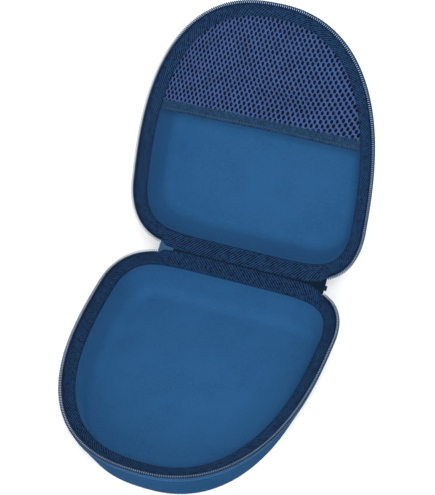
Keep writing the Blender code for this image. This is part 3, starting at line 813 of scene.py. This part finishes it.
def add_net():
    """The net: a staggered lattice of six-sided cells, each with an oval hole and rounded ribs."""
    right = [(1, -3), (2, -2), (2, 0), (2, 2), (1, 3)]  # in quarters of a column and sixths of a row
    steps = [*right[1:], (0, 4), *((-a, b) for a, b in right[::-1]), (0, -4), right[0]]
    corners = np.array(steps) / (4, 6)
    angle = np.arctan2(corners[:, 1] * CELL_Y, corners[:, 0] * CELL_X)
    hole = np.column_stack([HOLE_HALF_X * np.cos(angle), HOLE_HALF_Y * np.sin(angle)])
    near = corners * RIB_SHARE + hole * (1 - RIB_SHARE)
    count = len(steps)
    rng = np.random.default_rng(4)
    places, rises, index, faces, edges = [], [], {}, [], {}

    def vertex(key, u, v, rise):
        if key not in index:
            index[key] = len(places)
            places.append((u, v))
            rises.append(rise)
        return index[key]

    def between(one, two):
        return [[one[i - 1], one[i], two[i], two[i - 1]] for i in range(1 - count, 1)]

    for row in NET_ROWS:
        for column in NET_COLUMNS:
            u, v = column + 0.5 * (row % 2), float(row)
            x, y = net_place(np.array(u), np.array(v))
            if pocket_share(x, y) > LAST_SHARE or y > MOUTH + LAST_Y:
                continue
            grow, push = rng.normal(1, HOLE_SPREAD), rng.normal(0, HOLE_SHIFT, 2)
            rings = []
            for layer, rise in (("front", -RIB_BACK), ("back", RIB_BACK)):
                keys = [(layer, round(4 * u) + a, round(6 * v) + b) for a, b in steps]
                rings.append([vertex(key, u + cu, v + cv, rise) for key, (cu, cv) in zip(keys, corners)])
            for shape, rise in ((near, RIB_SHOULDER), (hole * grow, HOLE_FRONT), (hole * grow, HOLE_BACK)):
                ring = []
                for i, (cu, cv) in enumerate(shape):
                    ring.append(vertex((rise, row, column, i), u + cu + push[0], v + cv + push[1], rise))
                rings.append(ring)
            front, back, close, rim, low = rings
            faces += between(front, close) + between(close, rim) + between(rim, low) + between(low, back)
            for face in between(front, back):
                edges.setdefault(tuple(sorted(face[:2])), []).append(face)
    faces += [found[0] for found in edges.values() if len(found) == 1]
    x, y = net_place(*np.array(places).T)
    y = np.minimum(y, MOUTH + NET_EDGE)
    pull = 1 / np.maximum(pocket_share(x, y), 1)
    x, y = x * pull, MOUTH + (y - MOUTH) * pull
    world = place("lid", x, y, pocket_surface(x, y) + np.array(rises))
    piece = make_piece("mesh_pocket_knit", world, faces, MESH_YARN, sharp=80)
    finish_piece(piece, "lid", "pocket_mesh", "mesh_pocket_net")
    return piece


BACKING_SHARE, BACKING_LIFT, BACKING_THICKNESS = 0.995, 1.3, 0.5  # of the net's reach, and behind the net
FAN_RAYS, FAN_RINGS, FAN_END = 90, 24, 0.002  # FAN_END keeps the end rays off the mouth's own line


def add_backing():
    """The net's second layer, near black as painted shade inside the pocket: a thin closed sheet over the
    whole pocket, as a fan of rays.
    """
    angle = np.linspace(-math.pi + FAN_END, -FAN_END, FAN_RAYS)
    reach = np.interp(angle, RIM_ANGLE, RIM_REACH) * BACKING_SHARE
    share = np.linspace(0.0, 1, FAN_RINGS)[1:]
    x = reach[:, None] * np.cos(angle)[:, None] * share
    y = MOUTH + reach[:, None] * np.sin(angle)[:, None] * share
    rows, columns = x.shape
    x, y = np.append(x, 0.0), np.append(y, MOUTH)
    depth = pocket_surface(x, y) + BACKING_LIFT
    points = np.vstack([place("lid", x, y, depth), place("lid", x, y, depth + BACKING_THICKNESS)])
    faces, _ = grid_faces(rows, columns)
    size, middle = len(x), len(x) - 1
    found = faces.tolist() + (faces + size).tolist()
    for a in range(0, (rows - 1) * columns, columns):
        b = a + columns
        found += [[middle, a, b], [middle + size, a + size, b + size]]
        found.append([b - 1, b + columns - 1, b + columns - 1 + size, b - 1 + size])
    for a in (0, (rows - 1) * columns):
        found += [[i, i + 1, i + 1 + size, i + size] for i in range(a, a + columns - 1)]
        found.append([middle, a, a + size, middle + size])
    piece = make_piece("mesh_pocket_backing", points, found, MESH_BACK_SHADE, sharp=60)
    finish_piece(piece, "lid", "pocket_mesh")
    return piece


HEM_MIDDLE, HEM_LIFT = (HEM_NEAR + HEM_FAR) / 2, 0.3
HEM_STATIONS, HEM_HALF_LENGTH, HEM_ROUND = 110, 84, 24.0  # the last is the way round its profile, for the UVs
RIPPLE_HEIGHT, RIPPLE_PITCH = 0.06, 3.0
HEM_ROW, HEM_ROW_END = 2.3, 80  # the stitches' distance from the mouth, and how far out they go
HEM_STITCH, HEM_STITCH_PITCH = 1.9, 2.6
HEM_THREAD, HEM_THREAD_DEPTH, HEM_THREAD_DIP = 0.17, -0.52, 0.2  # radius, depth past the net, dip at the ends


def add_hem():
    """The elastic binding along the mouth: a folded tape with a row of stitches."""
    edge = pocket_rim(HEM_INSET, RIM_BEYOND)
    right = edge[edge[:, 0] > 0]
    right = right[np.argsort(right[:, 1])]
    front = [(HEM_NEAR + 0.1, 0.35), (HEM_NEAR + 0.15, -0.35), (HEM_NEAR - 0.9, -0.95)]
    front += [(HEM_NEAR - HEM_ROW, -0.72), (HEM_NEAR - 4.6, -0.98)]
    front += [(HEM_FAR + 1.2, -0.9), (HEM_FAR + 0.1, -0.55), (HEM_FAR, 0.2)]
    back = [(HEM_FAR + 0.4, 0.75), (HEM_MIDDLE, 0.85), (HEM_NEAR - 0.5, 0.75)]
    profile = np.vstack([smooth_profile(front, 3), back])
    shares = np.linspace(-1, 1, HEM_STATIONS)
    x = shares[:, None] * np.interp(profile[:, 0], right[:, 1], right[:, 0])
    y, rise = np.broadcast_to(profile[:, 0], x.shape), profile[:, 1]
    ripple = RIPPLE_HEIGHT * np.sin(x * 2 * math.pi / RIPPLE_PITCH) * (rise < 0)
    depth = pocket_surface(x, np.full_like(x, MOUTH)) + HEM_LIFT + rise
    world = place("lid", x, y, depth + ripple)
    rows, columns = x.shape
    faces, corners = grid_faces(rows, columns, False, True)
    across = np.append(profile_lengths(profile), HEM_ROUND)
    along = shares * HEM_HALF_LENGTH
    uv = np.vstack([grid_uv(along, across, corners), profile, profile])
    piece = make_piece("mesh_pocket_binding", world, faces.tolist() + end_caps(rows, columns), HEM, uv)
    finish_piece(piece, "lid", "pocket_hem", "mesh_pocket_hem")
    parts = []
    for start in np.arange(-HEM_ROW_END, HEM_ROW_END, HEM_STITCH_PITCH):
        x = start + np.linspace(0, HEM_STITCH, 5)
        dip = HEM_THREAD_DIP * np.array([1.4, 0.2, 0, 0.2, 1.4])
        depth = pocket_surface(x, np.full(5, MOUTH)) + HEM_THREAD_DEPTH + dip
        path = place("lid", x, HEM_NEAR - HEM_ROW, depth)
        parts.append(tube(path, HEM_THREAD * np.array([0.5, 1, 1, 1, 0.5]), 6, upwards("lid", 5)))
    piece = make_piece("mesh_pocket_stitches", *join_parts(parts), THREAD_BLUE)
    finish_piece(piece, "lid", "pocket_hem")


net = add_net()
backing = add_backing()
add_hem()


# ---------------------------------------------------------------- carried-over CAD nodes

CAD_LOOKS = {"zip_tail": TEETH, "zip_stop": METAL, "slider": METAL, "pull": METAL, "pull_grip": GRIP}


def repaint(node, material):
    for slot in frame["nodes"][node].material_slots:
        slot.material = material


for one_half in ("base", "lid"):
    repaint(f"{one_half}_shell_core", FOAM)
for hand in ("left", "right"):
    for start, look in CAD_LOOKS.items():
        repaint(f"{start}_{hand}", look)


# ---------------------------------------------------------------- stage, lights and camera

FLOOR_SIZE, FLOOR_DROP = 6.0, 0.0002  # in metres; the drop keeps the floor off the case's flat bottom


def add_floor():
    mesh = bpy.data.meshes.new("studio_floor")
    bm = bmesh.new()
    bmesh.ops.create_grid(bm, x_segments=1, y_segments=1, size=FLOOR_SIZE)
    bm.to_mesh(mesh)
    bm.free()
    made = Shader("studio_floor", (0.97, 0.97, 0.97), 0.8, specular=0.1)
    mesh.materials.append(made.made)
    piece = bpy.data.objects.new("studio_floor", mesh)
    bpy.context.collection.objects.link(piece)
    piece.location.z = -FLOOR_DROP


def add_area_light(name, place_mm, aim_mm, size, power):
    """A soft light of a size in metres and a power in watts, which looks at a point."""
    light = bpy.data.lights.new(name, "AREA")
    light.shape = "RECTANGLE"
    light.size, light.size_y = size
    light.energy = power
    made = bpy.data.objects.new(name, light)
    bpy.context.collection.objects.link(made)
    made.location = np.array(place_mm) * MM
    direction = Vector(np.array(aim_mm) - np.array(place_mm))
    made.rotation_euler = direction.to_track_quat("-Z", "Y").to_euler()


AZIMUTH, ELEVATION, ROLL = math.radians(23.628), math.radians(44.939), math.radians(-3.429)
TARGET, DISTANCE, LENS, SENSOR = Vector((-22.3, 122.2, 42.0)), 1098.8, 96.3, 36


def add_camera():
    """The camera: direction, roll, distance and lens as fitted to the rims of both halves."""
    level = Vector((math.sin(AZIMUTH), -math.cos(AZIMUTH), 0))
    back = level * math.cos(ELEVATION) + Vector((0, 0, math.sin(ELEVATION)))
    right = Vector((math.cos(AZIMUTH), math.sin(AZIMUTH), 0))
    up = back.cross(right)
    across = right * math.cos(ROLL) + up * math.sin(ROLL)
    upward = up * math.cos(ROLL) - right * math.sin(ROLL)
    data = bpy.data.cameras.new("camera")
    data.sensor_width = SENSOR
    data.lens = LENS
    data.clip_end = 20
    camera = bpy.data.objects.new("camera", data)
    bpy.context.collection.objects.link(camera)
    turn = Matrix((across, upward, back)).transposed().to_4x4()
    camera.matrix_world = Matrix.Translation((TARGET + back * DISTANCE) * MM) @ turn
    bpy.context.scene.camera = camera


def add_world(strength):
    world = bpy.data.worlds.new("studio")
    world.use_nodes = True
    background = world.node_tree.nodes["Background"]
    background.inputs[0].default_value = (1.0, 1.0, 1.0, 1)
    background.inputs[1].default_value = strength
    bpy.context.scene.world = world


add_floor()
add_camera()
add_world(0.78)
add_area_light("key", (250, -1400, 750), (0, 90, 90), (1.1, 0.7), 17)
add_area_light("overhead", (300, 500, 1500), (0, 150, 90), (1.2, 1.2), 5)
add_area_light("glint", (440, -760, 1150), (0, 60, 60), (0.35, 0.35), 12)
bpy.context.scene.view_settings.view_transform = "Standard"
